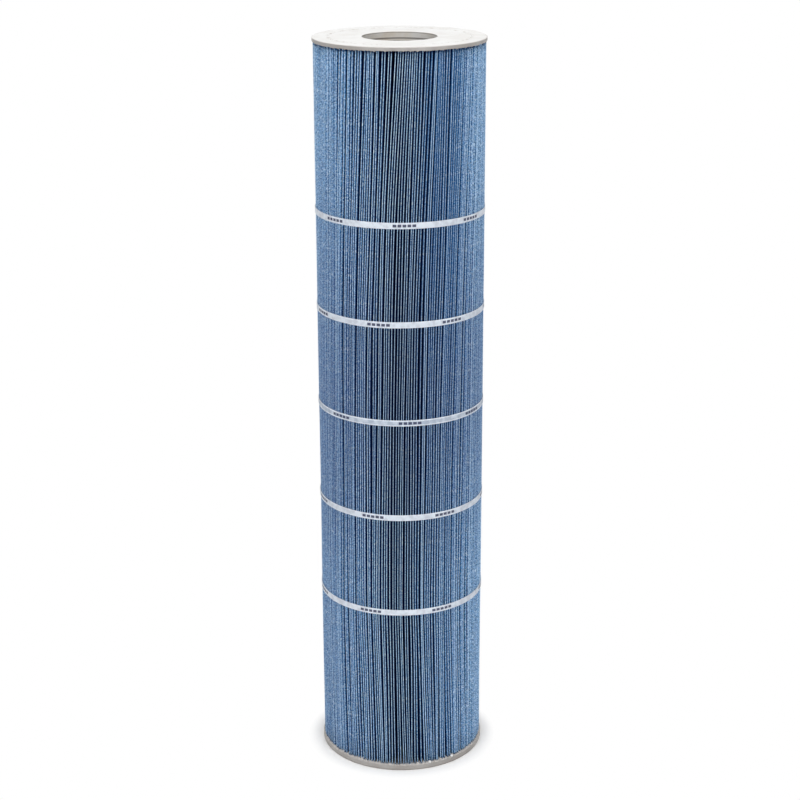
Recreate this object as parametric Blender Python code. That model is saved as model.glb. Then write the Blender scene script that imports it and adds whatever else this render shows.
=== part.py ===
"""A pleated filter cartridge for a pool or spa filter: a cylinder of folded media on a perforated core.

Units are metres. The axis is +Z, and the origin is the centre of the bottom cap's outer face.
"""

from math import cos, pi, radians, sin

import bmesh
import bpy

# Overall sizes
CARTRIDGE_LENGTH = 0.785
CAP_DIAMETER = 0.1778
BORE_DIAMETER = 0.0762
CLEARANCE = 0.0003
SMOOTH_BELOW = radians(40)

# End caps
CAP_WEB = 0.0025
BOTTOM_RIM_HEIGHT = 0.0064
TOP_RIM_HEIGHT = 0.0042
CAP_LIP = 0.0010
CAP_EDGE_RADIUS = 0.0012
CAP_EDGE_STEPS = 3
COLLAR_HEIGHT = 0.0090
COLLAR_WALL = 0.0011
BORE_CHAMFER = 0.0008
FACE_RING_INSET = 0.0159
FACE_RING_WIDTH = 0.0012
FACE_RING_DEPTH = 0.0004
CAP_STEPS = 48

# Core
CORE_SECTIONS = 5
CORE_WALL = 0.0050
CORE_JOINT_DEPTH = 0.0080
CORE_RING_HEIGHT = 0.0100
WINDOW_ROWS = 4
WINDOW_COLUMNS = 8

# Media
PLEATS = 200
MEDIA_THICKNESS = 0.00045
SEAM_ANGLE = radians(90)
SEAM_STRIP_DEPTH = 0.0085
SEAM_STRIP_THICKNESS = 0.0003

# Retaining bands
BAND_WIDTH = 0.00635
BAND_THICKNESS = 0.0005
BAND_DEPTHS_BELOW_TOP = (0.1761, 0.2786, 0.3835, 0.4882, 0.5965)
BAND_LAP_GAP = 0.0001
BAND_STEPS = 48
BAND_LAP_STEPS = 4
BAND_LAP_ANGLES = (radians(75), radians(263), radians(110), radians(60), radians(95))

# Fits that follow from the sizes above
CAP_RADIUS = CAP_DIAMETER / 2
BORE_RADIUS = BORE_DIAMETER / 2
TIP_RADIUS = CAP_RADIUS - CAP_LIP - CLEARANCE
COLLAR_RADIUS = BORE_RADIUS + COLLAR_WALL
CORE_INNER_RADIUS = COLLAR_RADIUS + CLEARANCE
CORE_OUTER_RADIUS = CORE_INNER_RADIUS + CORE_WALL
FOLD_RADIUS = CORE_OUTER_RADIUS + CLEARANCE
INNER_BOTTOM = CAP_WEB + CLEARANCE
INNER_TOP = CARTRIDGE_LENGTH - INNER_BOTTOM


def clear_scene():
    for thing in list(bpy.data.objects):
        bpy.data.objects.remove(thing, do_unlink=True)


def make_material(name, colour, roughness):
    material = bpy.data.materials.new(name)
    material.use_nodes = True
    shader = material.node_tree.nodes["Principled BSDF"]
    shader.inputs["Base Color"].default_value = (*colour, 1.0)
    shader.inputs["Roughness"].default_value = roughness
    shader.inputs["Metallic"].default_value = 0.0
    return material


def add_object(name, mesh_data, material, parent):
    """Turns a finished bmesh into a named object. Faces that meet at a small angle shade smooth."""
    bmesh.ops.recalc_face_normals(mesh_data, faces=mesh_data.faces)
    mesh = bpy.data.meshes.new(name)
    mesh_data.to_mesh(mesh)
    mesh_data.free()
    mesh.materials.append(material)
    mesh.shade_smooth()
    mesh.set_sharp_from_angle(angle=SMOOTH_BELOW)
    piece = bpy.data.objects.new(name, mesh)
    piece.parent = parent
    bpy.context.scene.collection.objects.link(piece)
    return piece


def polar(radius, angle, height=0.0):
    return (radius * cos(angle), radius * sin(angle), height)


def around(radius, steps):
    """The corner radius of a polygon whose flats lie at this radius."""
    return radius / cos(pi / steps)


def cap_profile(rim_height):
    """Radius and depth below the outer face, once round the section of an end cap."""
    ring_radius = CAP_RADIUS - FACE_RING_INSET
    half_ring = FACE_RING_WIDTH / 2
    channel_radius = around(TIP_RADIUS + CLEARANCE, CAP_STEPS)
    points = [
        (BORE_RADIUS, COLLAR_HEIGHT),
        (BORE_RADIUS, BORE_CHAMFER),
        (BORE_RADIUS + BORE_CHAMFER, 0.0),
        (ring_radius - half_ring, 0.0),
        (ring_radius, FACE_RING_DEPTH),
        (ring_radius + half_ring, 0.0),
    ]
    for step in range(CAP_EDGE_STEPS + 1):
        turn = pi / 2 * step / CAP_EDGE_STEPS
        inset = CAP_EDGE_RADIUS * (1 - sin(turn))
        depth = CAP_EDGE_RADIUS * (1 - cos(turn))
        points.append((CAP_RADIUS - inset, depth))
    points += [
        (CAP_RADIUS, rim_height),
        (channel_radius, rim_height),
        (channel_radius, CAP_WEB),
        (COLLAR_RADIUS, CAP_WEB),
        (COLLAR_RADIUS, COLLAR_HEIGHT),
    ]
    return points


def make_cap(name, face_height, inward, rim_height, material, parent):
    """A cast disc with a channel for the media and core. The section is turned once round the axis."""
    shape = bmesh.new()
    section = []
    for radius, depth in cap_profile(rim_height):
        section.append(shape.verts.new((radius, 0.0, face_height + inward * depth)))
    edges = []
    for index, vertex in enumerate(section):
        edges.append(shape.edges.new((section[index - 1], vertex)))
    bmesh.ops.spin(
        shape,
        geom=section + edges,
        axis=(0.0, 0.0, 1.0),
        cent=(0.0, 0.0, 0.0),
        angle=2 * pi,
        steps=CAP_STEPS,
        use_merge=True,
    )
    return add_object(name, shape, material, parent)


def core_body_height():
    core_length = INNER_TOP - INNER_BOTTOM
    gaps = (CORE_SECTIONS - 1) * CLEARANCE
    return (core_length - CORE_JOINT_DEPTH - gaps) / CORE_SECTIONS - CORE_JOINT_DEPTH


def extrude_ring(shape, height, inner_side, mid_radius, rise):
    """Splits the flat ring at this height at mid_radius, and pulls one half of it out by rise."""
    tolerance = CLEARANCE / 10
    ring = [f for f in shape.faces if all(abs(v.co.z - height) < tolerance for v in f.verts)]
    radial = set()
    for face in ring:
        for edge in face.edges:
            lengths = [vertex.co.xy.length for vertex in edge.verts]
            if abs(lengths[0] - lengths[1]) > tolerance:
                radial.add(edge)
    made = bmesh.ops.subdivide_edges(shape, edges=list(radial), cuts=1)
    for item in made["geom_inner"]:
        if isinstance(item, bmesh.types.BMVert):
            item.co.xy *= mid_radius / item.co.xy.length
    half = []
    for face in shape.faces:
        if any(abs(vertex.co.z - height) > tolerance for vertex in face.verts):
            continue
        is_inner = face.calc_center_median().xy.length < mid_radius * cos(pi / (2 * WINDOW_COLUMNS))
        if is_inner == inner_side:
            half.append(face)
    pulled = bmesh.ops.extrude_face_region(shape, geom=half)
    moved = [item for item in pulled["geom"] if isinstance(item, bmesh.types.BMVert)]
    bmesh.ops.translate(shape, vec=(0.0, 0.0, rise), verts=moved)
    bmesh.ops.delete(shape, geom=half, context="FACES")


def core_row_heights(bottom):
    """The heights of the rings and windows of one section, from its body's bottom to its top."""
    body = core_body_height()
    window = (body - (WINDOW_ROWS + 1) * CORE_RING_HEIGHT) / WINDOW_ROWS
    heights = [bottom]
    for _ in range(WINDOW_ROWS):
        heights.append(heights[-1] + CORE_RING_HEIGHT)
        heights.append(heights[-1] + window)
    heights.append(heights[-1] + CORE_RING_HEIGHT)
    return heights


def make_core_section(number, material, parent):
    """A moulded tube with rows of windows, a spigot on top and a skirt below that fits over the next spigot."""
    columns = 2 * WINDOW_COLUMNS
    inner_corner = around(CORE_INNER_RADIUS, columns)
    pitch = CORE_JOINT_DEPTH + core_body_height() + CLEARANCE
    bottom = INNER_BOTTOM + CORE_JOINT_DEPTH + (number - 1) * pitch
    heights = core_row_heights(bottom)

    shape = bmesh.new()
    rings = []
    for height in heights:
        ring = []
        for column in range(columns):
            angle = 2 * pi * column / columns
            ring.append(shape.verts.new(polar(CORE_OUTER_RADIUS, angle, height)))
        rings.append(ring)
    for row in range(len(rings) - 1):
        for column in range(columns):
            is_window = row % 2 == 1 and column % 2 == 1
            if is_window:
                continue
            after = (column + 1) % columns
            lower, upper = rings[row], rings[row + 1]
            shape.faces.new((lower[column], lower[after], upper[after], upper[column]))

    outside = list(shape.faces)
    grown = bmesh.ops.extrude_face_region(shape, geom=outside, use_keep_orig=True)
    inner_verts = [item for item in grown["geom"] if isinstance(item, bmesh.types.BMVert)]
    shrink = inner_corner / CORE_OUTER_RADIUS
    bmesh.ops.scale(shape, vec=(shrink, shrink, 1.0), verts=inner_verts)
    bmesh.ops.recalc_face_normals(shape, faces=shape.faces)

    mid_radius = (inner_corner + CORE_OUTER_RADIUS) / 2
    spigot_radius = mid_radius - CLEARANCE / 2
    skirt_radius = around(mid_radius + CLEARANCE / 2, columns)
    extrude_ring(shape, heights[-1], True, spigot_radius, CORE_JOINT_DEPTH - CLEARANCE)
    extrude_ring(shape, heights[0], False, skirt_radius, -CORE_JOINT_DEPTH)
    return add_object(f"core_section_{number}", shape, material, parent)


def make_sheet(name, path, bottom, height, thickness, material, parent):
    """A thin sheet that stands on a path, given its thickness by a Solidify modifier."""
    shape = bmesh.new()
    verts = [shape.verts.new((x, y, bottom)) for x, y, _ in path]
    edges = []
    for first, second in zip(verts, verts[1:]):
        edges.append(shape.edges.new((first, second)))
    raised = bmesh.ops.extrude_edge_only(shape, edges=edges)
    upper = [item for item in raised["geom"] if isinstance(item, bmesh.types.BMVert)]
    bmesh.ops.translate(shape, vec=(0.0, 0.0, height), verts=upper)
    piece = add_object(name, shape, material, parent)
    wall = piece.modifiers.new("wall", "SOLIDIFY")
    wall.thickness = thickness
    wall.offset = 0.0
    wall.use_even_offset = True
    return piece


def pleat_path():
    """The middle of the folded sheet. It starts and ends at the outside, on the two sides of the seam."""
    tip = TIP_RADIUS - MEDIA_THICKNESS / 2
    fold = FOLD_RADIUS + MEDIA_THICKNESS / 2
    path = []
    for leg in range(2 * PLEATS):
        angle = SEAM_ANGLE + (leg + 0.5) * pi / PLEATS
        first, second = (tip, fold) if leg % 2 == 0 else (fold, tip)
        path.append(polar(first, angle))
        path.append(polar(second, angle))
    return path


def make_seam_strip(material, parent):
    """The thin bonding strip between the two end legs of the sheet."""
    outer = TIP_RADIUS - MEDIA_THICKNESS
    inner = outer - SEAM_STRIP_DEPTH
    path = [polar(inner, SEAM_ANGLE), polar(outer, SEAM_ANGLE)]
    height = INNER_TOP - INNER_BOTTOM
    return make_sheet(
        "side_seam_strip", path, INNER_BOTTOM, height, SEAM_STRIP_THICKNESS, material, parent
    )


def band_path(lap_angle):
    """The middle of a tape wound once round the pleat tips, with its end lapped over its start."""
    resting = around(TIP_RADIUS + CLEARANCE, BAND_STEPS) + BAND_THICKNESS / 2
    lift = BAND_THICKNESS + BAND_LAP_GAP
    path = []
    for step in range(BAND_STEPS + BAND_LAP_STEPS + 1):
        radius = resting + lift if step >= BAND_STEPS else resting
        path.append(polar(radius, lap_angle - 2 * pi * step / BAND_STEPS))
    return path


def make_band(number, depth, lap_angle, material, parent):
    centre = CARTRIDGE_LENGTH - depth
    return make_sheet(
        f"retaining_band_{number}",
        band_path(lap_angle),
        centre - BAND_WIDTH / 2,
        BAND_WIDTH,
        BAND_THICKNESS,
        material,
        parent,
    )


def main():
    clear_scene()
    urethane = make_material("cast_urethane", (0.80, 0.78, 0.74), 0.45)
    polyester = make_material("nonwoven_polyester", (0.13, 0.24, 0.42), 0.85)
    moulding = make_material("moulded_core", (0.72, 0.70, 0.66), 0.50)
    tape = make_material("band_tape", (0.74, 0.74, 0.80), 0.70)
    hot_melt = make_material("seam_hot_melt", (0.70, 0.66, 0.56), 0.40)

    cartridge = bpy.data.objects.new("cartridge", None)
    bpy.context.scene.collection.objects.link(cartridge)

    make_cap("bottom_end_cap", 0.0, 1.0, BOTTOM_RIM_HEIGHT, urethane, cartridge)
    make_cap("top_end_cap", CARTRIDGE_LENGTH, -1.0, TOP_RIM_HEIGHT, urethane, cartridge)
    for number in range(1, CORE_SECTIONS + 1):
        make_core_section(number, moulding, cartridge)
    height = INNER_TOP - INNER_BOTTOM
    make_sheet(
        "pleated_media", pleat_path(), INNER_BOTTOM, height, MEDIA_THICKNESS, polyester, cartridge
    )
    make_seam_strip(hot_melt, cartridge)
    for number, (depth, lap_angle) in enumerate(zip(BAND_DEPTHS_BELOW_TOP, BAND_LAP_ANGLES), 1):
        make_band(number, depth, lap_angle, tape, cartridge)


main()
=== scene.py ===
"""Looks of the pleated filter cartridge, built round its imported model. Units are metres, +Z is up."""

from math import cos, pi, radians, sin

import bmesh
import bpy
import numpy as np
from mathutils import Matrix, Vector


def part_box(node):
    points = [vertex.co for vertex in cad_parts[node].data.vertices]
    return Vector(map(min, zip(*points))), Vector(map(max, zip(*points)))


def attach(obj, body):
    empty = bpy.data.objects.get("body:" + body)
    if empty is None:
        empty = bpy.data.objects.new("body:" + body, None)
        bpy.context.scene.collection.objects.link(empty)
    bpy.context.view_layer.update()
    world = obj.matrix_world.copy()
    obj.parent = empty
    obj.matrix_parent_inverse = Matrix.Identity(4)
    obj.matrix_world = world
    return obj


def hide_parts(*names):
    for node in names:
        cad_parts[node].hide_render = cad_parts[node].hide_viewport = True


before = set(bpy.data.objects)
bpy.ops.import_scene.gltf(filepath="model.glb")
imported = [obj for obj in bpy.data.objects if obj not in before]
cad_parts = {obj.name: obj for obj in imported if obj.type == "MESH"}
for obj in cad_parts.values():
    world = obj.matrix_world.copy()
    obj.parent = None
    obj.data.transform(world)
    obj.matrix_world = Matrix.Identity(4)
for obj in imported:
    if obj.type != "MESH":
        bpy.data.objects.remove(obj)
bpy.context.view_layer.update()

# Core
# Five identical mouldings in pale grey plastic, stacked inside the pleats to hold them open.
# Each is a tube with rows of windows, and its spigot plugs into the skirt of the section above.
CORE_SECTIONS = 5
CORE_WALL = 0.0050
CORE_RING_HEIGHT = 0.0100
CORE_SPIGOT = 0.0077
CORE_SKIRT = 0.0080
JOINT_PLAY = 0.0003
WINDOW_ROWS = 4
WINDOW_COLUMNS = 8
STEPS_PER_WINDOW = 5
CORE_EDGE = 0.0005
CORE_CORNER = radians(40)
CORE_GRAIN_SCALE = 900.0
CORE_GRAIN_DEPTH = 0.00004
CORE_SHADE = 0.86
CORE_COLOUR = (0.70, 0.68, 0.64)


def place_mesh(name, shape, material):
    """Puts a finished bmesh in the scene."""
    mesh = bpy.data.meshes.new(name)
    shape.to_mesh(mesh)
    shape.free()
    mesh.materials.append(material)
    made = bpy.data.objects.new(name, mesh)
    bpy.context.scene.collection.objects.link(made)
    return made


def add_piece(name, shape, material):
    """Makes a finished bmesh a piece that belongs to the cartridge's one body."""
    piece = place_mesh(name, shape, material)
    piece.data.shade_smooth()
    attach(piece, "root")
    return piece


def round_edges(piece, width, corner):
    """Rounds each edge that turns by more than the given corner."""
    rounding = piece.modifiers.new("edges", "BEVEL")
    rounding.width = width
    rounding.segments = 2
    rounding.limit_method = "ANGLE"
    rounding.angle_limit = corner


def new_material(name):
    """A plain material, with its nodes and its shader."""
    material = bpy.data.materials.new(name)
    material.use_nodes = True
    return material, material.node_tree, material.node_tree.nodes["Principled BSDF"]


def feed(tree, socket, value):
    """Sets a socket to a number, a vector or a colour, or links another node's output to it."""
    if isinstance(value, bpy.types.NodeSocket):
        tree.links.new(value, socket)
    else:
        socket.default_value = value


def reckon(tree, operation, *values):
    """One step of arithmetic on a surface's values."""
    step = tree.nodes.new("ShaderNodeMath")
    step.operation = operation
    for socket, value in zip(step.inputs, values):
        feed(tree, socket, value)
    return step.outputs["Value"]


def eased(tree, value, low, high, at_low=0.0, at_high=1.0):
    """Goes smoothly from at_low to at_high as the value goes from low to high."""
    step = tree.nodes.new("ShaderNodeMapRange")
    step.interpolation_type = "SMOOTHSTEP"
    limits = (value, low, high, at_low, at_high)
    for name, limit in zip(("Value", "From Min", "From Max", "To Min", "To Max"), limits):
        feed(tree, step.inputs[name], limit)
    return step.outputs["Result"]


def tinted(tree, share, first, second):
    """The first colour, giving way to the second as the share goes to 1."""
    step = tree.nodes.new("ShaderNodeMix")
    step.data_type = "RGBA"
    feed(tree, step.inputs["Factor"], share)
    for socket, colour in zip((step.inputs[6], step.inputs[7]), (first, second)):
        feed(tree, socket, colour if isinstance(colour, bpy.types.NodeSocket) else (*colour, 1.0))
    return step.outputs[2]


def cloud(tree, where, scale, detail=3.0, roughness=0.55):
    """Soft irregular patches, from 0 to 1 with most of it near the middle."""
    step = tree.nodes.new("ShaderNodeTexNoise")
    feed(tree, step.inputs["Vector"], where)
    feed(tree, step.inputs["Scale"], scale)
    step.inputs["Detail"].default_value = detail
    step.inputs["Roughness"].default_value = roughness
    return step.outputs["Fac"]


def stretched(tree, where, scale, turn=0.0):
    """The same place on the surface, turned about Z and scaled along each axis."""
    step = tree.nodes.new("ShaderNodeMapping")
    feed(tree, step.inputs["Vector"], where)
    step.inputs["Rotation"].default_value = (0.0, 0.0, turn)
    step.inputs["Scale"].default_value = scale
    return step.outputs["Vector"]


def object_place(tree):
    """A place on the object, in its own frame."""
    return tree.nodes.new("ShaderNodeTexCoord").outputs["Object"]


def raised(tree, shader, height, depth):
    """Lets a surface stand up by as much as the depth where the height goes to 1."""
    step = tree.nodes.new("ShaderNodeBump")
    step.inputs["Distance"].default_value = depth
    step.inputs["Strength"].default_value = 1.0
    feed(tree, step.inputs["Height"], height)
    feed(tree, shader.inputs["Normal"], step.outputs["Normal"])


def make_cast_skin():
    """A group for poured and moulded plastic: slow cloudiness, fine grain and a few pinholes."""
    tree = bpy.data.node_groups.new("cast_skin", "ShaderNodeTree")
    for name, kind in (("Place", "NodeSocketVector"), ("Grain Scale", "NodeSocketFloat")):
        tree.interface.new_socket(name, in_out="INPUT", socket_type=kind)
    for name in ("Cloud", "Grain", "Pinholes"):
        tree.interface.new_socket(name, in_out="OUTPUT", socket_type="NodeSocketFloat")
    given = tree.nodes.new("NodeGroupInput").outputs
    result = tree.nodes.new("NodeGroupOutput").inputs
    feed(tree, result["Cloud"], cloud(tree, given["Place"], scale=38.0, detail=4.0))
    grain = cloud(tree, given["Place"], given["Grain Scale"], detail=4.0, roughness=0.5)
    feed(tree, result["Grain"], grain)
    bubbles = tree.nodes.new("ShaderNodeTexVoronoi")
    feed(tree, bubbles.inputs["Vector"], given["Place"])
    bubbles.inputs["Scale"].default_value = 150.0
    feed(tree, result["Pinholes"], eased(tree, bubbles.outputs["Distance"], 0.03, 0.075, 1.0, 0.0))
    return tree


CAST_SKIN = make_cast_skin()


def cast_skin(tree, grain_scale):
    """The cast skin's three values at each place on the object."""
    step = tree.nodes.new("ShaderNodeGroup")
    step.node_tree = CAST_SKIN
    feed(tree, step.inputs["Place"], object_place(tree))
    step.inputs["Grain Scale"].default_value = grain_scale
    return step.outputs


def moulded_grey():
    """Pale grey plastic with the satin of a blasted mould."""
    material, tree, shader = new_material("moulded_grey")
    skin = cast_skin(tree, CORE_GRAIN_SCALE)
    darker = tuple(CORE_SHADE * part for part in CORE_COLOUR)
    feed(tree, shader.inputs["Base Color"], tinted(tree, skin["Cloud"], darker, CORE_COLOUR))
    feed(tree, shader.inputs["Roughness"], eased(tree, skin["Grain"], 0.3, 0.7, 0.42, 0.56))
    raised(tree, shader, skin["Grain"], CORE_GRAIN_DEPTH)
    return material


def core_profile(bottom, top, outer, inner):
    """Radius and height, once round the section of one moulding: up its outside and down its inside."""
    middle = (outer + inner) / 2
    shoulder = top - CORE_SPIGOT
    body = bottom + CORE_SKIRT
    window = (shoulder - body - (WINDOW_ROWS + 1) * CORE_RING_HEIGHT) / WINDOW_ROWS
    heights = [body]
    for _ in range(WINDOW_ROWS):
        heights.append(heights[-1] + CORE_RING_HEIGHT)
        heights.append(heights[-1] + window)
    heights.append(shoulder)
    outside = [(outer, bottom)] + [(outer, height) for height in heights]
    spigot = [(middle - JOINT_PLAY / 2, shoulder), (middle - JOINT_PLAY / 2, top), (inner, top)]
    inside = [(inner, height) for height in reversed(heights)]
    skirt = [(middle + JOINT_PLAY / 2, body), (middle + JOINT_PLAY / 2, bottom)]
    return outside + spigot + inside + skirt, heights


def turn_profile(shape, profile, steps):
    """Turns a closed section once round the axis."""
    corners = [shape.verts.new((radius, 0.0, height)) for radius, height in profile]
    edges = [shape.edges.new((corners[i - 1], corners[i])) for i in range(len(corners))]
    bmesh.ops.spin(
        shape,
        geom=corners + edges,
        axis=(0.0, 0.0, 1.0),
        cent=(0.0, 0.0, 0.0),
        angle=2 * pi,
        steps=steps,
        use_merge=True,
    )
    bmesh.ops.remove_doubles(shape, verts=shape.verts, dist=1e-7)
    bmesh.ops.recalc_face_normals(shape, faces=shape.faces)


def cut_windows(shape, heights, outer, inner):
    """Opens each window: its outer and inner patches go, and their rims are joined by walls."""
    spread = 2 * pi / (2 * WINDOW_COLUMNS)
    patches = {}
    for face in shape.faces:
        centre = face.calc_center_median()
        if min(abs(centre.xy.length - outer), abs(centre.xy.length - inner)) > CORE_WALL / 5:
            continue
        column = int((np.arctan2(centre.y, centre.x) % (2 * pi)) / spread)
        rows = [row for row in range(1, 2 * WINDOW_ROWS, 2) if heights[row] < centre.z < heights[row + 1]]
        if column % 2 == 1 and rows:
            patches.setdefault((column, rows[0]), []).append(face)
    for patch in patches.values():
        rim = [edge for face in patch for edge in face.edges]
        rim = [edge for edge in set(rim) if sum(face in patch for face in edge.link_faces) == 1]
        bmesh.ops.delete(shape, geom=patch, context="FACES_ONLY")
        bmesh.ops.bridge_loops(shape, edges=rim)
    bmesh.ops.delete(shape, geom=[e for e in shape.edges if not e.link_faces], context="EDGES")
    bmesh.ops.delete(shape, geom=[v for v in shape.verts if not v.link_faces], context="VERTS")
    bmesh.ops.recalc_face_normals(shape, faces=shape.faces)


core_plastic = moulded_grey()
for number in range(1, CORE_SECTIONS + 1):
    node = f"core_section_{number}"
    low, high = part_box(node)
    core_outer = high.x
    core_inner = core_outer - CORE_WALL
    profile, heights = core_profile(low.z, high.z, core_outer, core_inner)
    moulding = bmesh.new()
    turn_profile(moulding, profile, 2 * WINDOW_COLUMNS * STEPS_PER_WINDOW)
    cut_windows(moulding, heights, core_outer, core_inner)
    piece = add_piece(f"moulded_{node}", moulding, core_plastic)
    round_edges(piece, CORE_EDGE, CORE_CORNER)
    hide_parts(node)

# Pleated media
# One long sheet of blue spunbond polyester, creased into deep pleats and wrapped round the core.
# The pleats stand unevenly: they lean, drift and bunch between the tapes, as hand-spread folds do.
PLEATS = 200
MEDIA_THICKNESS = 0.00032
HEIGHT_STEPS = 26
TIP_HALF_WIDTH = 0.00011
SHOULDER_HALF_WIDTH = 0.00019
SHOULDER_DEPTH = 0.0008
FLANK_DEPTH = 0.0028
FLANK_HALF_WIDTH = 0.00030
SEAM_ANGLE = radians(90)
TIP_SPREAD = 0.00026
TIP_SPREAD_TAIL = 2.5
TIP_SPREAD_LIMIT = 5.0
WANDER = 0.00016
WANDER_REACH = 4
BUNCHING = 0.00062
BUNCH_PLEATS = 5
BUNCH_REACH = 7
LEAST_SPACING = 0.00130
SPACING_ROUNDS = 60
LOOSE_HEIGHTS = (0.0, 0.14, 0.24)
LOOSE_SHARES = (1.6, 1.5, 1.0)
TWIST_HEIGHTS = (0.00, 0.19, 0.30, 0.40, 0.51, 0.61, 0.785)
TWIST_DRIFTS = (-0.0031, -0.0067, -0.0055, -0.0041, -0.0017, 0.0017, 0.0090)
TIP_UNEVENNESS = 0.00018
TIP_SINK_LIMIT = 2.5 * TIP_UNEVENNESS
QUIET_PLEATS = 3
FOLD_SEED = 11
LEAST_WEAR_AND_LIGHT = 0.55
MOST_WEAR_AND_LIGHT = 1.00
FIBRE_TURNS = (0.35, 1.25, 2.05, 2.80)
FIBRE_SCALE = (260.0, 2300.0, 1.0)
FIBRE_DEPTH = 0.00012
FLECK_SCALE = (560.0, 270.0, 1.0)
SCUFF_ROW_PITCH = 0.026
SCUFF_ROW_PULL = 0.12
SCUFF_SHARE = 0.95
DULL_HEIGHT = 0.42
DULL_ABOVE = 0.30
DULL_BELOW = 0.28
DULL_SHARE = 0.46
DULL_SHARE_BELOW = -0.08
DULL_ON_TIPS = 0.55
LOW_LEFT_SIDES = (-0.085, -0.035)
LOW_LEFT_HEIGHTS = (0.24, 0.40)
LOW_LEFT_SHARES = (0.32, 0.08)
SHADE_STRIP_LEFT = (0.010, 0.035)
SHADE_STRIP_RIGHT = (0.048, 0.076)
SHADE_STRIP_HEIGHTS = (0.38, 0.66)
SHADE_STRIP_SHARES = (0.12, 0.62)
SHADE_STRIP_ON_TIPS = 0.3
RIM_SHADOW_DEPTH = 0.0050
RIM_SHADOW_SHARE = 0.90
PLEAT_FOOT_SHADE_LOW = 0.0070
PLEAT_FOOT_SHADE_HIGH = 0.0096
PLEAT_FOOT_SHADE_SHARE = 0.75
PALE_DEPTH = 0.0013
LIGHT_REACH = 0.0026
MEDIA_PAINTED_SHADE = (0.0005, 0.013, 0.085)
MEDIA_DEEP = (0.017, 0.116, 0.340)
MEDIA_DULL_AND_SHADE = (0.064, 0.078, 0.220)
MEDIA_BLUE = (0.108, 0.410, 0.825)
MEDIA_LILAC = (0.215, 0.315, 0.650)
MEDIA_CREST = (0.540, 0.765, 1.000)
MEDIA_PALE = (0.630, 0.825, 1.000)
MEDIA_GLINT = (0.690, 0.890, 1.000)
TONE_SHARE = 0.30
LILAC_SHARE = 0.75
FIBRE_SHARE = 0.50
GRAIN_DARK = 0.80
GRAIN_LIGHT = 0.65
GRAIN_ON_TIPS = 0.6

media_low, media_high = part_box("pleated_media")
tip_radius = media_high.x
fold_radius = core_outer + JOINT_PLAY + MEDIA_THICKNESS / 2
tip_pitch = 2 * pi * tip_radius / PLEATS
fold_pitch = 2 * pi * fold_radius / PLEATS


def surface_value(tree, name):
    """A value that the mesh carries from corner to corner."""
    step = tree.nodes.new("ShaderNodeAttribute")
    step.attribute_name = name
    return step.outputs["Fac"]


def place_parts(tree):
    """The X, Y and Z of a place on the object."""
    parts = tree.nodes.new("ShaderNodeSeparateXYZ")
    feed(tree, parts.inputs["Vector"], object_place(tree))
    return parts.outputs


def off_axis(tree):
    """How far a place lies from the cartridge's axis."""
    length = tree.nodes.new("ShaderNodeVectorMath")
    length.operation = "LENGTH"
    feed(tree, length.inputs[0], stretched(tree, object_place(tree), (1.0, 1.0, 0.0)))
    return length.outputs["Value"]


def sheet_place(tree, height):
    """A place on the unfolded sheet: how far along its length, and how high."""
    flat = tree.nodes.new("ShaderNodeCombineXYZ")
    feed(tree, flat.inputs["X"], surface_value(tree, "along"))
    feed(tree, flat.inputs["Y"], height)
    return flat.outputs["Vector"]


def laid_fibres(tree, place):
    """Fine strands that cross at several slants, with the topmost one showing."""
    fibres = 0.0
    for turn in FIBRE_TURNS:
        strands = cloud(tree, stretched(tree, place, FIBRE_SCALE, turn), scale=1.0, detail=2.0)
        fibres = reckon(tree, "MAXIMUM", fibres, strands)
    return fibres


def scuff_marks(tree, place, height, patches):
    """Pale flecks, which gather a little in level rows."""
    flecks = cloud(tree, stretched(tree, place, FLECK_SCALE), scale=1.0, detail=2.0, roughness=0.5)
    row = reckon(tree, "SINE", reckon(tree, "MULTIPLY", height, 2 * pi / SCUFF_ROW_PITCH))
    near_row = reckon(tree, "MULTIPLY", eased(tree, row, 0.70, 1.00, 0.0, SCUFF_ROW_PULL), patches)
    return eased(tree, reckon(tree, "ADD", flecks, near_row), 0.62, 0.69, 0.0, SCUFF_SHARE)


def dull_and_shaded_places(tree, across, height, worn_and_lit):
    """Duller blue round mid-height, and painted shade at the lower left; both are weaker on the tips."""
    above = eased(tree, height, DULL_HEIGHT, DULL_HEIGHT + DULL_ABOVE, DULL_SHARE, 0.0)
    # The lower share starts below zero, so the dull stretch ends a little above the foot.
    below = eased(tree, height, DULL_HEIGHT - DULL_BELOW, DULL_HEIGHT, DULL_SHARE_BELOW, DULL_SHARE)
    dull_and_shade = reckon(tree, "MAXIMUM", reckon(tree, "MINIMUM", above, below), 0.0)
    # Painted shade: the lower left goes towards the dull colour too.
    to_left = eased(tree, across, *LOW_LEFT_SIDES, 1.0, 0.0)
    low_down = eased(tree, height, *LOW_LEFT_HEIGHTS, *LOW_LEFT_SHARES)
    dull_and_shade = reckon(tree, "ADD", dull_and_shade, reckon(tree, "MULTIPLY", to_left, low_down))
    return reckon(tree, "MULTIPLY", dull_and_shade, eased(tree, worn_and_lit, 0.3, 1.0, 1.0, DULL_ON_TIPS))


def painted_shade_strip(tree, across, height, worn_and_lit):
    """Painted shade: a strip right of the front's middle goes deep blue, most of all near the top."""
    past_left = eased(tree, across, *SHADE_STRIP_LEFT)
    before_right = eased(tree, across, *SHADE_STRIP_RIGHT, 1.0, 0.0)
    strip = reckon(tree, "MINIMUM", past_left, before_right)
    shaded = reckon(tree, "MULTIPLY", strip, eased(tree, height, *SHADE_STRIP_HEIGHTS, *SHADE_STRIP_SHARES))
    return reckon(tree, "MULTIPLY", shaded, eased(tree, worn_and_lit, 0.3, 1.0, 1.0, SHADE_STRIP_ON_TIPS))


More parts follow.
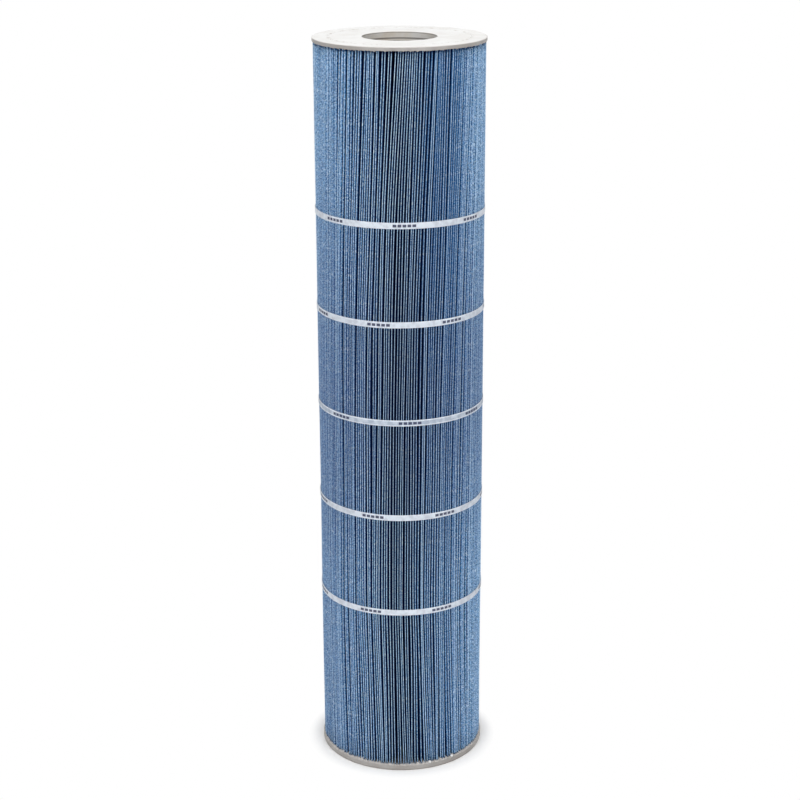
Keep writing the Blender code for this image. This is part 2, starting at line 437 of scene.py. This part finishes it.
def spunbond():
    """Short fibres lie every way, so the sheet is mottled. Tips are paler, partly wear and partly painted
    highlight, and deep folds carry painted shade.
    """
    material, tree, shader = new_material("spunbond_blue")
    parts = place_parts(tree)
    across = parts["X"]
    height = parts["Z"]
    place = sheet_place(tree, height)
    worn_and_lit = surface_value(tree, "worn_and_lit")
    fibres = laid_fibres(tree, place)
    blotches = cloud(tree, place, scale=420.0, detail=4.0, roughness=0.68)
    patches = cloud(tree, place, scale=60.0, detail=2.0)
    grain = cloud(tree, place, scale=720.0, detail=2.0, roughness=0.6)
    tone = reckon(tree, "MULTIPLY", surface_value(tree, "tone"), TONE_SHARE)
    tone = reckon(tree, "ADD", patches, tone)
    shade = tinted(tree, eased(tree, tone, 0.55, 0.95, 0.0, LILAC_SHARE), MEDIA_BLUE, MEDIA_LILAC)
    shade = tinted(tree, eased(tree, blotches, 0.40, 0.59), MEDIA_DEEP, shade)
    shade = tinted(tree, eased(tree, fibres, 0.60, 0.80, 0.0, FIBRE_SHARE), shade, MEDIA_PALE)
    # Painted highlight, partly wear: each tip goes towards the pale crest colour.
    shade = tinted(tree, worn_and_lit, shade, MEDIA_CREST)
    dark_grain = eased(tree, grain, 0.36, 0.53, GRAIN_DARK, 0.0)
    dark_grain = reckon(tree, "MULTIPLY", dark_grain, eased(tree, worn_and_lit, 0.5, 1.0, 1.0, GRAIN_ON_TIPS))
    shade = tinted(tree, dark_grain, shade, MEDIA_DEEP)
    shade = tinted(tree, eased(tree, grain, 0.53, 0.66, 0.0, GRAIN_LIGHT), shade, MEDIA_GLINT)
    shade = tinted(tree, scuff_marks(tree, place, height, patches), shade, MEDIA_PALE)
    # Duller blue round mid-height, and painted shade at the lower left.
    shade = tinted(tree, dull_and_shaded_places(tree, across, height, worn_and_lit), shade, MEDIA_DULL_AND_SHADE)
    # Painted shade on a strip right of the front's middle.
    shade = tinted(tree, painted_shade_strip(tree, across, height, worn_and_lit), shade, MEDIA_DEEP)
    # Painted shadow: just under the top cap's rim, the pleats go dark in ragged patches.
    shadow_low = media_high.z - RIM_SHADOW_DEPTH
    rim_shadow = eased(tree, height, shadow_low, shadow_low + RIM_SHADOW_DEPTH / 2, 0.0, RIM_SHADOW_SHARE)
    rim_shadow = reckon(tree, "MULTIPLY", rim_shadow, eased(tree, blotches, 0.42, 0.54))
    shade = tinted(tree, rim_shadow, shade, MEDIA_PAINTED_SHADE)
    # Painted shade: just above the bottom cap's rim, the pleats go dark in ragged patches.
    pleat_foot_shade = eased(tree, height, PLEAT_FOOT_SHADE_LOW, PLEAT_FOOT_SHADE_HIGH, PLEAT_FOOT_SHADE_SHARE, 0.0)
    pleat_foot_shade = reckon(tree, "MULTIPLY", pleat_foot_shade, eased(tree, blotches, 0.36, 0.54))
    shade = tinted(tree, pleat_foot_shade, shade, MEDIA_PAINTED_SHADE)
    # Painted shade: deeper into the folds, the colour goes to near black.
    open_air = eased(tree, off_axis(tree), tip_radius - LIGHT_REACH, tip_radius - PALE_DEPTH)
    shade = tinted(tree, open_air, MEDIA_PAINTED_SHADE, shade)
    feed(tree, shader.inputs["Base Color"], shade)
    feed(tree, shader.inputs["Roughness"], eased(tree, fibres, 0.4, 0.8, 0.95, 0.80))
    shader.inputs["Specular IOR Level"].default_value = 0.12
    raised(tree, shader, fibres, FIBRE_DEPTH)
    return material


def smoothed(values, axis, reach, wraps):
    """Evens out random numbers along one axis, and keeps their spread at 1."""
    window = np.hanning(2 * reach + 1)
    mode = "wrap" if wraps else "edge"
    padding = [(0, 0), (0, 0)]
    padding[axis] = (reach, reach)
    padded = np.pad(values, padding, mode=mode)
    even = np.apply_along_axis(lambda row: np.convolve(row, window, mode="valid"), axis, padded)
    return even / even.std()


def pleat_drift(chance):
    """How far each pleat's tip stands to the side of its even place, by pleat and height."""
    shape = (PLEATS, HEIGHT_STEPS + 1)
    own = chance.standard_t(TIP_SPREAD_TAIL, size=(PLEATS, 1))
    own = np.clip(own, -TIP_SPREAD_LIMIT, TIP_SPREAD_LIMIT) * TIP_SPREAD
    wander = smoothed(chance.normal(size=shape), 1, WANDER_REACH, False) * WANDER
    bunch = smoothed(chance.normal(size=shape), 0, BUNCH_PLEATS, True)
    bunch = smoothed(bunch, 1, BUNCH_REACH, False) * BUNCHING
    levels = np.linspace(media_low.z, media_high.z, HEIGHT_STEPS + 1)
    drift = own + (wander + bunch) * np.interp(levels, LOOSE_HEIGHTS, LOOSE_SHARES)
    near_seam = np.minimum(np.arange(PLEATS), PLEATS - 1 - np.arange(PLEATS))
    drift *= np.clip((near_seam - QUIET_PLEATS) / QUIET_PLEATS, 0.0, 1.0)[:, None]
    places = np.arange(PLEATS)[:, None] * tip_pitch + drift
    for _ in range(SPACING_ROUNDS):
        overlap = np.maximum(LEAST_SPACING - np.diff(places, axis=0), 0.0) / 2
        places[:-1] -= overlap
        places[1:] += overlap
    return places - np.arange(PLEATS)[:, None] * tip_pitch


def pack_twist():
    """How far the pack is turned at each height: most at the front, and nothing at the seam."""
    levels = np.linspace(media_low.z, media_high.z, HEIGHT_STEPS + 1)
    drift = np.interp(levels, TWIST_HEIGHTS, TWIST_DRIFTS)
    share = np.sin(pi * (np.arange(PLEATS) + 0.5) / PLEATS)
    return np.outer(share, drift) / tip_radius


def pleat_outline():
    """One pleat from fold to fold: depth below the tip and sideways place."""
    depth = tip_radius - MEDIA_THICKNESS / 2 - fold_radius
    fold_side = fold_pitch / 4
    rising = [
        (depth, -fold_side),
        (FLANK_DEPTH, -FLANK_HALF_WIDTH),
        (SHOULDER_DEPTH, -SHOULDER_HALF_WIDTH),
        (0.0, -TIP_HALF_WIDTH),
    ]
    return rising + [(down, -side) for down, side in reversed(rising)]


def raise_strip(shape, edges, rise):
    """Extrudes a row of edges upwards. Returns the new edges and corners."""
    lifted = bmesh.ops.extrude_edge_only(shape, edges=edges)["geom"]
    corners = [item for item in lifted if isinstance(item, bmesh.types.BMVert)]
    bmesh.ops.translate(shape, vec=(0.0, 0.0, rise), verts=corners)
    return [item for item in lifted if isinstance(item, bmesh.types.BMEdge)], corners


def thicken(piece, thickness, even):
    """Gives a strip its thickness, half of it to each side."""
    wall = piece.modifiers.new("wall", "SOLIDIFY")
    wall.thickness = thickness
    wall.offset = 0.0
    wall.use_even_offset = even


def make_sheet(outline, chance):
    """The sheet as a strip of points on the floor of the pack, raised in even steps to its full height."""
    sheet = bmesh.new()
    pleat_layer = sheet.verts.layers.int.new("pleat")
    point_layer = sheet.verts.layers.int.new("point")
    along_layer = sheet.verts.layers.float.new("along")
    worn_and_lit_layer = sheet.verts.layers.float.new("worn_and_lit")
    tone_layer = sheet.verts.layers.float.new("tone")
    row = []
    along = 0.0
    for pleat in range(PLEATS):
        # Each tip's share of paleness: partly wear, partly painted highlight.
        wear_and_light = chance.uniform(LEAST_WEAR_AND_LIGHT, MOST_WEAR_AND_LIGHT)
        tone = chance.uniform(0.0, 1.0)
        for point, (depth, side) in enumerate(outline):
            corner = sheet.verts.new((0.0, 0.0, media_low.z))
            corner[pleat_layer] = pleat
            corner[point_layer] = point
            corner[along_layer] = along
            corner[worn_and_lit_layer] = wear_and_light if depth == 0.0 else 0.0
            corner[tone_layer] = tone
            row.append(corner)
            after = outline[point + 1] if point + 1 < len(outline) else outline[0]
            along += abs(after[0] - depth) + abs(after[1] - side)
    edges = [sheet.edges.new(pair) for pair in zip(row, row[1:])]
    rise = (media_high.z - media_low.z) / HEIGHT_STEPS
    for _ in range(HEIGHT_STEPS):
        edges = raise_strip(sheet, edges, rise)[0]
    return sheet, pleat_layer, point_layer, rise, along


def spread_pleats(sheet, pleat_layer, point_layer, rise, outline, chance):
    """Moves the strip's points out to the pleats: tips drift most, and the inner folds stay on the core."""
    drift = pleat_drift(chance)
    twist = pack_twist()
    tips = smoothed(chance.normal(size=drift.shape), 1, WANDER_REACH, False) * TIP_UNEVENNESS
    tips = np.clip(tips, -TIP_SINK_LIMIT, TIP_UNEVENNESS)
    full_depth = outline[0][0]
    for corner in sheet.verts:
        pleat = corner[pleat_layer]
        level = round((corner.co.z - media_low.z) / rise)
        depth, side = outline[corner[point_layer]]
        outward = 1.0 - depth / full_depth
        radius = tip_radius - MEDIA_THICKNESS / 2 - depth + tips[pleat, level] * outward
        angle = SEAM_ANGLE + 2 * pi * (pleat + 0.5) / PLEATS
        angle += twist[pleat, level] + drift[pleat, level] * outward / tip_radius + side / radius
        corner.co.x = radius * cos(angle)
        corner.co.y = radius * sin(angle)


outline = pleat_outline()
chance = np.random.default_rng(FOLD_SEED)
sheet, pleat_layer, point_layer, rise, sheet_length = make_sheet(outline, chance)
spread_pleats(sheet, pleat_layer, point_layer, rise, outline, chance)
bmesh.ops.recalc_face_normals(sheet, faces=sheet.faces)
media = add_piece("folded_media", sheet, spunbond())
thicken(media, MEDIA_THICKNESS, even=True)
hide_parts("pleated_media")

# Side seam
# The sheet's two end legs are bonded by a thin strip of hot melt, so that the pleats close into a tube.
# It is amber, a little cloudy, and lies between the legs at the back.
SEAM_GRAIN_SCALE = 500.0
SEAM_RIPPLE_DEPTH = 0.0001
SEAM_AMBER = (0.62, 0.52, 0.34)
SEAM_DARK = (0.45, 0.35, 0.20)


def hot_melt():
    """Set glue, a little glossy, with slow ripples."""
    material, tree, shader = new_material("hot_melt_amber")
    skin = cast_skin(tree, SEAM_GRAIN_SCALE)
    feed(tree, shader.inputs["Base Color"], tinted(tree, skin["Cloud"], SEAM_DARK, SEAM_AMBER))
    feed(tree, shader.inputs["Roughness"], eased(tree, skin["Grain"], 0.3, 0.7, 0.25, 0.45))
    raised(tree, shader, skin["Cloud"], SEAM_RIPPLE_DEPTH)
    return material


seam_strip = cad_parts["side_seam_strip"]
seam_strip.data.materials.clear()
seam_strip.data.materials.append(hot_melt())

# End caps
# Discs of off-white urethane, poured in a flat pan round the ends of the pleats and core.
# The pour leaves a rounded edge, a faint ring on the face and small menisci between the pleats.
RIM_HEIGHTS = {"bottom_end_cap": 0.0064, "top_end_cap": 0.0038}
RIM_STRAIGHT = 0.9
RIM_CHAMFER = 0.0003
CAP_EDGE_RADIUS = 0.0007
BORE_EDGE_RADIUS = 0.0008
BORE_RADIUS = 0.0381
COLLAR_WALL = 0.0011
COLLAR_HEIGHT = 0.0090
FACE_RING_RADIUS = 0.0730
FACE_RING_WIDTH = 0.0012
FACE_RING_DEPTH = 0.0004
CAP_STEPS = 800
ARC_STEPS = 5
EDGE_STRIP = 0.0004
CAP_CORNER = radians(50)
POUR_SEED = 5
MENISCUS_RISES = {"bottom_end_cap": 0.00085, "top_end_cap": 0.00050}
MENISCUS_DEPTH = 0.0030
MENISCUS_REACH = 2
MENISCUS_RIM_SHARE = 0.35
SAME_PLACE = 1e-5
BEAD_RADIUS = 0.0016
BEAD_SEAT = 0.7
BEAD_ANGLES = (radians(290), radians(308))
CAP_GRAIN_SCALE = 650.0
CAP_GRAIN_DEPTH = 0.00006
RING_SCUFFS = (0.0008, 0.0035)
RING_SCUFF_SHARE = 0.55
SIDE_GRIME_AND_SHADE = (0.0002, 0.0008)
EDGE_GRIME_WIDTH = 0.0014
EDGE_GRIME_FULL = 0.0004
EDGE_GRIME_SHARE = 0.3
FOOT_GRIME_AND_SHADOW_WIDTH = 0.0030
FOOT_GRIME_AND_SHADOW_FULL = 0.0010
FOOT_GRIME_AND_SHADOW_HEIGHTS = (0.0006, 0.0020)
FOOT_GRIME_AND_SHADOW_SHARE = 0.45
LIP_DEPTH = 0.0014
LIP_FADE = 0.0010
LIP_SHARE = 0.9
PINHOLE_SHARE = 0.4
CAP_WHITE = (0.83, 0.83, 0.82)
CAP_SHADE = (0.77, 0.76, 0.74)
CAP_SIDE = (0.333, 0.322, 0.315)
CAP_LIP = (0.560, 0.545, 0.530)
CAP_STAIN = (0.36, 0.30, 0.25)
CAP_DARK = (0.060, 0.050, 0.042)
BORE_WARM = (0.66, 0.59, 0.505)
BORE_PALE = (0.74, 0.725, 0.70)
BORE_SHADOW_LINES = ((0.0007, 0.0007, 0.6), (0.0067, 0.0011, 0.75))

cartridge_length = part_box("top_end_cap")[1].z
cap_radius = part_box("top_end_cap")[1].x


def off_by(tree, value, middle):
    """How far a value lies from a middle one, to either side."""
    return reckon(tree, "ABSOLUTE", reckon(tree, "SUBTRACT", value, middle))


def scuffed_ring(tree, radius):
    """Scuffs on a cap's face, close to its ring."""
    scuffs = eased(tree, cloud(tree, object_place(tree), scale=240.0), 0.52, 0.62)
    near_ring = eased(tree, off_by(tree, radius, FACE_RING_RADIUS), *RING_SCUFFS, RING_SCUFF_SHARE, 0.0)
    return reckon(tree, "MULTIPLY", scuffs, near_ring)


def grimy_shadowed_foot(tree, radius, height):
    """The rim's lowest edge is dark: partly grime from the floors that it has stood on, partly painted
    contact shadow.
    """
    outside = eased(tree, radius, cap_radius - FOOT_GRIME_AND_SHADOW_WIDTH, cap_radius - FOOT_GRIME_AND_SHADOW_FULL)
    near_floor = eased(tree, height, *FOOT_GRIME_AND_SHADOW_HEIGHTS, FOOT_GRIME_AND_SHADOW_SHARE, 0.0)
    return reckon(tree, "MULTIPLY", outside, near_floor)


def ragged_lip(tree, depth, handled):
    """The deeper rim's upper edge, where the pour thinned out, is paler in patches."""
    lip_low = RIM_HEIGHTS["bottom_end_cap"] - LIP_DEPTH
    lip = eased(tree, depth, lip_low, lip_low + LIP_FADE, 0.0, LIP_SHARE)
    lip = reckon(tree, "MULTIPLY", handled, lip)
    patches = cloud(tree, object_place(tree), scale=420.0, detail=2.0)
    return reckon(tree, "MULTIPLY", lip, eased(tree, patches, 0.40, 0.58))


def cast_white():
    """The faces are clean but for a scuffed ring. The rim and the bore are darker, partly grime and stain
    and partly painted shade, and the bore has painted shadow lines.
    """
    material, tree, shader = new_material("cast_white")
    skin = cast_skin(tree, CAP_GRAIN_SCALE)
    radius = off_axis(tree)
    height = place_parts(tree)["Z"]
    depth = reckon(tree, "MINIMUM", height, reckon(tree, "SUBTRACT", cartridge_length, height))
    handled = reckon(tree, "SUBTRACT", 1.0, surface_value(tree, "fresh"))
    grime_and_shade = reckon(tree, "MULTIPLY", eased(tree, skin["Cloud"], 0.30, 0.70, 0.70, 1.0), handled)
    shade = tinted(tree, eased(tree, skin["Cloud"], 0.35, 0.65), CAP_SHADE, CAP_WHITE)
    shade = tinted(tree, scuffed_ring(tree, radius), shade, CAP_STAIN)
    # The rim's side goes darker: partly grime, partly painted shade.
    side = reckon(tree, "MULTIPLY", eased(tree, depth, *SIDE_GRIME_AND_SHADE), grime_and_shade)
    shade = tinted(tree, side, shade, CAP_SIDE)
    # Painted contact shadow, partly grime, along the rim's lowest edge.
    shade = tinted(tree, grimy_shadowed_foot(tree, radius, height), shade, CAP_DARK)
    shade = tinted(tree, ragged_lip(tree, depth, handled), shade, CAP_LIP)
    edge_full = cap_radius - EDGE_GRIME_FULL
    edge = eased(tree, radius, cap_radius - EDGE_GRIME_WIDTH, edge_full, 0.0, EDGE_GRIME_SHARE)
    shade = tinted(tree, reckon(tree, "MULTIPLY", edge, grime_and_shade), shade, CAP_STAIN)
    # The bore wall is darker and warmer than the face: partly a warm stain, partly painted shade in the
    # hole.
    inside = reckon(tree, "LESS_THAN", radius, BORE_RADIUS + BORE_EDGE_RADIUS / 2)
    wall = tinted(tree, eased(tree, skin["Cloud"], 0.35, 0.65), BORE_WARM, BORE_PALE)
    shade = tinted(tree, inside, shade, wall)
    # Two painted shadow lines round the bore, one near its edge and one lower down.
    for line_depth, half_width, darkness in BORE_SHADOW_LINES:
        line = eased(tree, off_by(tree, depth, line_depth), half_width / 3, half_width, darkness, 0.0)
        shade = tinted(tree, reckon(tree, "MULTIPLY", inside, line), shade, CAP_DARK)
    shade = tinted(tree, reckon(tree, "MULTIPLY", skin["Pinholes"], PINHOLE_SHARE), shade, CAP_STAIN)
    feed(tree, shader.inputs["Base Color"], shade)
    feed(tree, shader.inputs["Roughness"], eased(tree, skin["Grain"], 0.3, 0.7, 0.40, 0.58))
    raised(tree, shader, skin["Grain"], CAP_GRAIN_DEPTH)
    return material


def arc(centre_radius, centre_depth, size, start, end):
    """Points of a rounded edge, in radius and depth."""
    points = []
    for step in range(ARC_STEPS + 1):
        turn = start + (end - start) * step / ARC_STEPS
        points.append((centre_radius + size * cos(turn), centre_depth + size * sin(turn)))
    return points


def cap_profile(rim_height):
    """Radius and depth below the outer face, once round the section of a cap with its pour."""
    half_ring = FACE_RING_WIDTH / 2
    collar = BORE_RADIUS + COLLAR_WALL
    points = [(BORE_RADIUS, COLLAR_HEIGHT), (BORE_RADIUS, BORE_EDGE_RADIUS + EDGE_STRIP)]
    points += arc(BORE_RADIUS + BORE_EDGE_RADIUS, BORE_EDGE_RADIUS, BORE_EDGE_RADIUS, pi, 1.5 * pi)
    points.append((BORE_RADIUS + BORE_EDGE_RADIUS + EDGE_STRIP, 0.0))
    points.append((FACE_RING_RADIUS - half_ring - EDGE_STRIP, 0.0))
    for share in (-1.0, -0.4, 0.4, 1.0):
        dip = FACE_RING_DEPTH if abs(share) < 1.0 else 0.0
        points.append((FACE_RING_RADIUS + half_ring * share, dip))
    points.append((FACE_RING_RADIUS + half_ring + EDGE_STRIP, 0.0))
    points.append((cap_radius - CAP_EDGE_RADIUS - EDGE_STRIP, 0.0))
    points += arc(cap_radius - CAP_EDGE_RADIUS, CAP_EDGE_RADIUS, CAP_EDGE_RADIUS, -pi / 2, 0.0)
    points.append((cap_radius, CAP_EDGE_RADIUS + EDGE_STRIP))
    points.append((cap_radius, rim_height * RIM_STRAIGHT - EDGE_STRIP))
    points.append((cap_radius, rim_height * RIM_STRAIGHT))
    points.append((cap_radius - RIM_CHAMFER, rim_height))
    points.append((tip_radius, rim_height))
    points.append((tip_radius - MENISCUS_DEPTH, rim_height))
    points.append((collar, rim_height))
    points.append((collar, COLLAR_HEIGHT))
    return points


def raise_menisci(shape, inner_face, rise, chance):
    """The pour climbs the pleats a little, unevenly, just inside the rim."""
    climb = smoothed(chance.normal(size=(CAP_STEPS, 1)), 0, MENISCUS_REACH, True)
    climb = np.abs(climb)[:, 0]
    for corner in shape.verts:
        radius = corner.co.xy.length
        if abs(corner.co.z - inner_face) > SAME_PLACE:
            continue
        if radius < tip_radius - MENISCUS_DEPTH - SAME_PLACE:
            continue
        step = int(round((np.arctan2(corner.co.y, corner.co.x) % (2 * pi)) / (2 * pi) * CAP_STEPS))
        share = MENISCUS_RIM_SHARE if radius > tip_radius + SAME_PLACE else 1.0
        corner.co.z += rise * share * climb[step % CAP_STEPS]


def add_beads(shape, rim_top):
    """Two drops of clean urethane that set on the edge of the rim."""
    fresh_layer = shape.verts.layers.float.new("fresh")
    for angle in BEAD_ANGLES:
        spot = (cap_radius * cos(angle), cap_radius * sin(angle), rim_top + BEAD_SEAT * BEAD_RADIUS)
        bead = bmesh.ops.create_icosphere(
            shape, subdivisions=2, radius=BEAD_RADIUS, matrix=Matrix.Translation(spot)
        )
        for corner in bead["verts"]:
            corner[fresh_layer] = 1.0


cap_urethane = cast_white()
for node, inward in (("bottom_end_cap", 1.0), ("top_end_cap", -1.0)):
    low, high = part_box(node)
    face_height = low.z if inward > 0 else high.z
    rim_height = RIM_HEIGHTS[node]
    inner_face = face_height + inward * rim_height
    disc = bmesh.new()
    section = [(radius, face_height + inward * depth) for radius, depth in cap_profile(rim_height)]
    turn_profile(disc, section, CAP_STEPS)
    raise_menisci(disc, inner_face, inward * MENISCUS_RISES[node], np.random.default_rng(POUR_SEED))
    if node == "bottom_end_cap":
        add_beads(disc, inner_face)
    piece = add_piece(f"cast_{node}", disc, cap_urethane)
    piece.data.set_sharp_from_angle(angle=CAP_CORNER)
    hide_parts(node)

# Retaining bands
# Five narrow woven tapes, each wound once round the pleat tips with its end stuck down over its start.
# They keep the pleats evenly spread. Plain navy dashes are printed along them at even steps.
BANDS = 5
BAND_THICKNESS = 0.0005
BAND_STEPS = 240
BAND_LAP_STEPS = 20
BAND_RAMP_STEPS = 3
BAND_LAP_GAP = 0.0001
BAND_STAND_OFF = 1.4 * TIP_UNEVENNESS
BAND_EDGE = 0.00012
BAND_CORNER = radians(60)
FRONT_ANGLE = radians(270)
BAND_LAP_DEGREES = (75, 263, 110, 60, 95)
BAND_MARK_DEGREES = (2.7, -14.7, 6.2, -19.8, -22.0)
WHOLE_TURNS = 2.0
MARKS_PER_TURN = 7
DASHES_PER_MARK = 16
DASHES_PRINTED = 5
DASH_HALF_LENGTH = 0.38
DASH_HALF_HEIGHT = 0.22
INK_COVER = 0.92
WARP_THREADS = 16
WEFT_THREADS = 900
WEAVE_DEPTH = 0.00006
TAPE_WHITE = (0.80, 0.87, 0.96)
TAPE_GREY = (0.55, 0.58, 0.66)
TAPE_NAVY = (0.016, 0.024, 0.085)
TAPE_FADED = (0.34, 0.42, 0.54)
BAND_FADING = (0.0, 0.10, 0.75, 0.12, 0.0)


def waves(tree, value, count):
    """An even wave, so many times over a value's way from 0 to 1."""
    return reckon(tree, "SINE", reckon(tree, "MULTIPLY", value, 2 * pi * count))


def printed_dashes(tree, around, across):
    """Short groups of dashes along the middle of the tape."""
    repeat = reckon(tree, "FRACT", reckon(tree, "MULTIPLY", around, MARKS_PER_TURN))
    in_group = reckon(tree, "COMPARE", repeat, 0.5, DASHES_PRINTED / 2 / DASHES_PER_MARK)
    dash = reckon(tree, "ADD", reckon(tree, "MULTIPLY", repeat, DASHES_PER_MARK), 0.5)
    in_dash = reckon(tree, "COMPARE", reckon(tree, "FRACT", dash), 0.5, DASH_HALF_LENGTH)
    in_height = reckon(tree, "COMPARE", across, 0.5, DASH_HALF_HEIGHT)
    return reckon(tree, "MULTIPLY", reckon(tree, "MULTIPLY", in_group, in_dash), in_height)


def woven_tape():
    """Weft and warp cross in fine steps, and the printed dashes follow the tape's own length."""
    material, tree, shader = new_material("woven_tape")
    around = surface_value(tree, "around")
    across = surface_value(tree, "across")
    weave = reckon(tree, "MULTIPLY", waves(tree, across, WARP_THREADS), waves(tree, around, WEFT_THREADS))
    dirt = cloud(tree, object_place(tree), scale=160.0, detail=4.0)
    shade = tinted(tree, eased(tree, dirt, 0.42, 0.64, 0.0, 0.55), TAPE_WHITE, TAPE_GREY)
    shade = tinted(tree, eased(tree, weave, -1.0, 1.0, 0.0, 0.22), shade, TAPE_GREY)
    middle = eased(tree, off_by(tree, across, 0.5), 0.26, 0.36, 1.0, 0.0)
    patchy = eased(tree, dirt, 0.30, 0.60, 0.45, 1.0)
    faded = reckon(tree, "MULTIPLY", surface_value(tree, "faded"), patchy)
    shade = tinted(tree, reckon(tree, "MULTIPLY", middle, faded), shade, TAPE_FADED)
    ink = reckon(tree, "MULTIPLY", printed_dashes(tree, around, across), INK_COVER)
    shade = tinted(tree, ink, shade, TAPE_NAVY)
    feed(tree, shader.inputs["Base Color"], shade)
    feed(tree, shader.inputs["Roughness"], eased(tree, dirt, 0.3, 0.7, 0.62, 0.80))
    raised(tree, shader, weave, WEAVE_DEPTH)
    return material


def wind_tape(low_z, high_z, lap_angle, mark_angle, fading):
    """A strip of tape wound round the tips. Its last stretch climbs onto its first one."""
    tape = bmesh.new()
    around_layer = tape.verts.layers.float.new("around")
    across_layer = tape.verts.layers.float.new("across")
    faded_layer = tape.verts.layers.float.new("faded")
    resting = tip_radius + BAND_STAND_OFF + BAND_THICKNESS / 2
    lift = BAND_THICKNESS + BAND_LAP_GAP
    row = []
    for step in range(BAND_STEPS + BAND_LAP_STEPS + 1):
        climb = min(max((step - BAND_STEPS + BAND_RAMP_STEPS) / BAND_RAMP_STEPS, 0.0), 1.0)
        angle = lap_angle - 2 * pi * step / BAND_STEPS
        radius = resting + lift * climb
        corner = tape.verts.new((radius * cos(angle), radius * sin(angle), low_z))
        # Whole turns keep the value above zero, so that the print repeats evenly.
        turns = (angle - mark_angle) / (2 * pi)
        corner[around_layer] = turns + WHOLE_TURNS + 0.5 / MARKS_PER_TURN
        corner[faded_layer] = fading
        row.append(corner)
    edges = [tape.edges.new(pair) for pair in zip(row, row[1:])]
    for corner in raise_strip(tape, edges, high_z - low_z)[1]:
        corner[across_layer] = 1.0
    bmesh.ops.recalc_face_normals(tape, faces=tape.faces)
    return tape


tape_cloth = woven_tape()
for number, lap, mark, fading in zip(range(1, BANDS + 1), BAND_LAP_DEGREES, BAND_MARK_DEGREES, BAND_FADING):
    node = f"retaining_band_{number}"
    low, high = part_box(node)
    tape = wind_tape(low.z, high.z, radians(lap), FRONT_ANGLE + radians(mark), fading)
    piece = add_piece(f"tape_{node}", tape, tape_cloth)
    thicken(piece, BAND_THICKNESS, even=False)
    round_edges(piece, BAND_EDGE, BAND_CORNER)
    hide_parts(node)

# Floor
# A plain white studio floor, painted matt.
# It keeps the soft shadow near the cartridge and goes to clear white further out.
FLOOR_RADIUS = 14.0
FLOOR_STEPS = 96
FLOOR_DROP = 0.0002
SHADOW_NEAR = 0.087
SHADOW_FAR = 0.107
FLOOR_WHITE = (0.92, 0.92, 0.92)


def seen_directly(tree):
    """1 where the eye, a reflection or a clear piece looks, and 0 where only light falls."""
    rays = tree.nodes.new("ShaderNodeLightPath").outputs
    seen = reckon(tree, "MAXIMUM", rays["Is Camera Ray"], rays["Is Glossy Ray"])
    return reckon(tree, "MAXIMUM", seen, rays["Is Transmission Ray"])


def studio_floor():
    """Matt white paint near the cartridge, and plain white light in its place further out."""
    material, tree, shader = new_material("studio_floor")
    shader.inputs["Base Color"].default_value = (*FLOOR_WHITE, 1.0)
    shader.inputs["Roughness"].default_value = 0.9
    far = eased(tree, off_axis(tree), SHADOW_NEAR, SHADOW_FAR)
    glow = tree.nodes.new("ShaderNodeEmission")
    blend = tree.nodes.new("ShaderNodeMixShader")
    feed(tree, blend.inputs["Fac"], reckon(tree, "MULTIPLY", far, seen_directly(tree)))
    feed(tree, blend.inputs[1], shader.outputs["BSDF"])
    feed(tree, blend.inputs[2], glow.outputs["Emission"])
    feed(tree, tree.nodes["Material Output"].inputs["Surface"], blend.outputs["Shader"])
    return material


ground = bmesh.new()
bmesh.ops.create_circle(ground, cap_ends=True, segments=FLOOR_STEPS, radius=FLOOR_RADIUS)
bmesh.ops.translate(ground, vec=(0.0, 0.0, -FLOOR_DROP), verts=ground.verts)
floor = place_mesh("floor", ground, studio_floor())

# Light
# A large soft box overhead, and weaker ones to the left, the right and the back.
# They stand in an even white surround, which gives only part of its light to the cartridge.
AMBIENT = 0.24
SOFT_BOXES = (
    ("top_box", (0.0, -0.5, 6.0), 198.0, 3.0),
    ("left_box", (-1.4, -2.55, 2.0), 29.0, 1.4),
    ("right_box", (1.4, -2.55, 1.7), 24.0, 1.4),
    ("back_box", (0.0, 2.9, 0.22), 38.0, 0.4),
)
AIM_HEIGHT = 0.40

world = bpy.data.worlds.new("studio")
world.use_nodes = True
bpy.context.scene.world = world
surround = world.node_tree
shown = reckon(surround, "MULTIPLY", seen_directly(surround), 1.0 - AMBIENT)
sky = surround.nodes["Background"]
sky.inputs["Color"].default_value = (1.0, 1.0, 1.0, 1.0)
feed(surround, sky.inputs["Strength"], reckon(surround, "ADD", AMBIENT, shown))

for name, place, power, size in SOFT_BOXES:
    lamp = bpy.data.lights.new(name, "AREA")
    lamp.energy = power
    lamp.size = size
    box = bpy.data.objects.new(name, lamp)
    aim = Vector((0.0, 0.0, AIM_HEIGHT)) - Vector(place)
    box.matrix_world = Matrix.Translation(place) @ aim.to_track_quat("-Z", "Y").to_matrix().to_4x4()
    bpy.context.scene.collection.objects.link(box)

# Camera
# It stands a little under two metres in front of the cartridge, above its top.
# It looks down, so the top face shows as a thin ellipse.
CAMERA_LENS = 82.59
CAMERA_SENSOR = 36.0
CAMERA_PLACE = (-0.00087, -1.8757, 1.0115)
CAMERA_TILT = radians(18.106)
CAMERA_ROLL = radians(-0.214)

camera_data = bpy.data.cameras.new("camera")
camera_data.lens = CAMERA_LENS
camera_data.sensor_width = CAMERA_SENSOR
camera = bpy.data.objects.new("camera", camera_data)
turned = Matrix.Rotation(pi / 2 - CAMERA_TILT, 4, "X") @ Matrix.Rotation(CAMERA_ROLL, 4, "Z")
camera.matrix_world = Matrix.Translation(CAMERA_PLACE) @ turned
bpy.context.scene.collection.objects.link(camera)
bpy.context.scene.camera = camera
bpy.context.scene.view_settings.view_transform = "Standard"
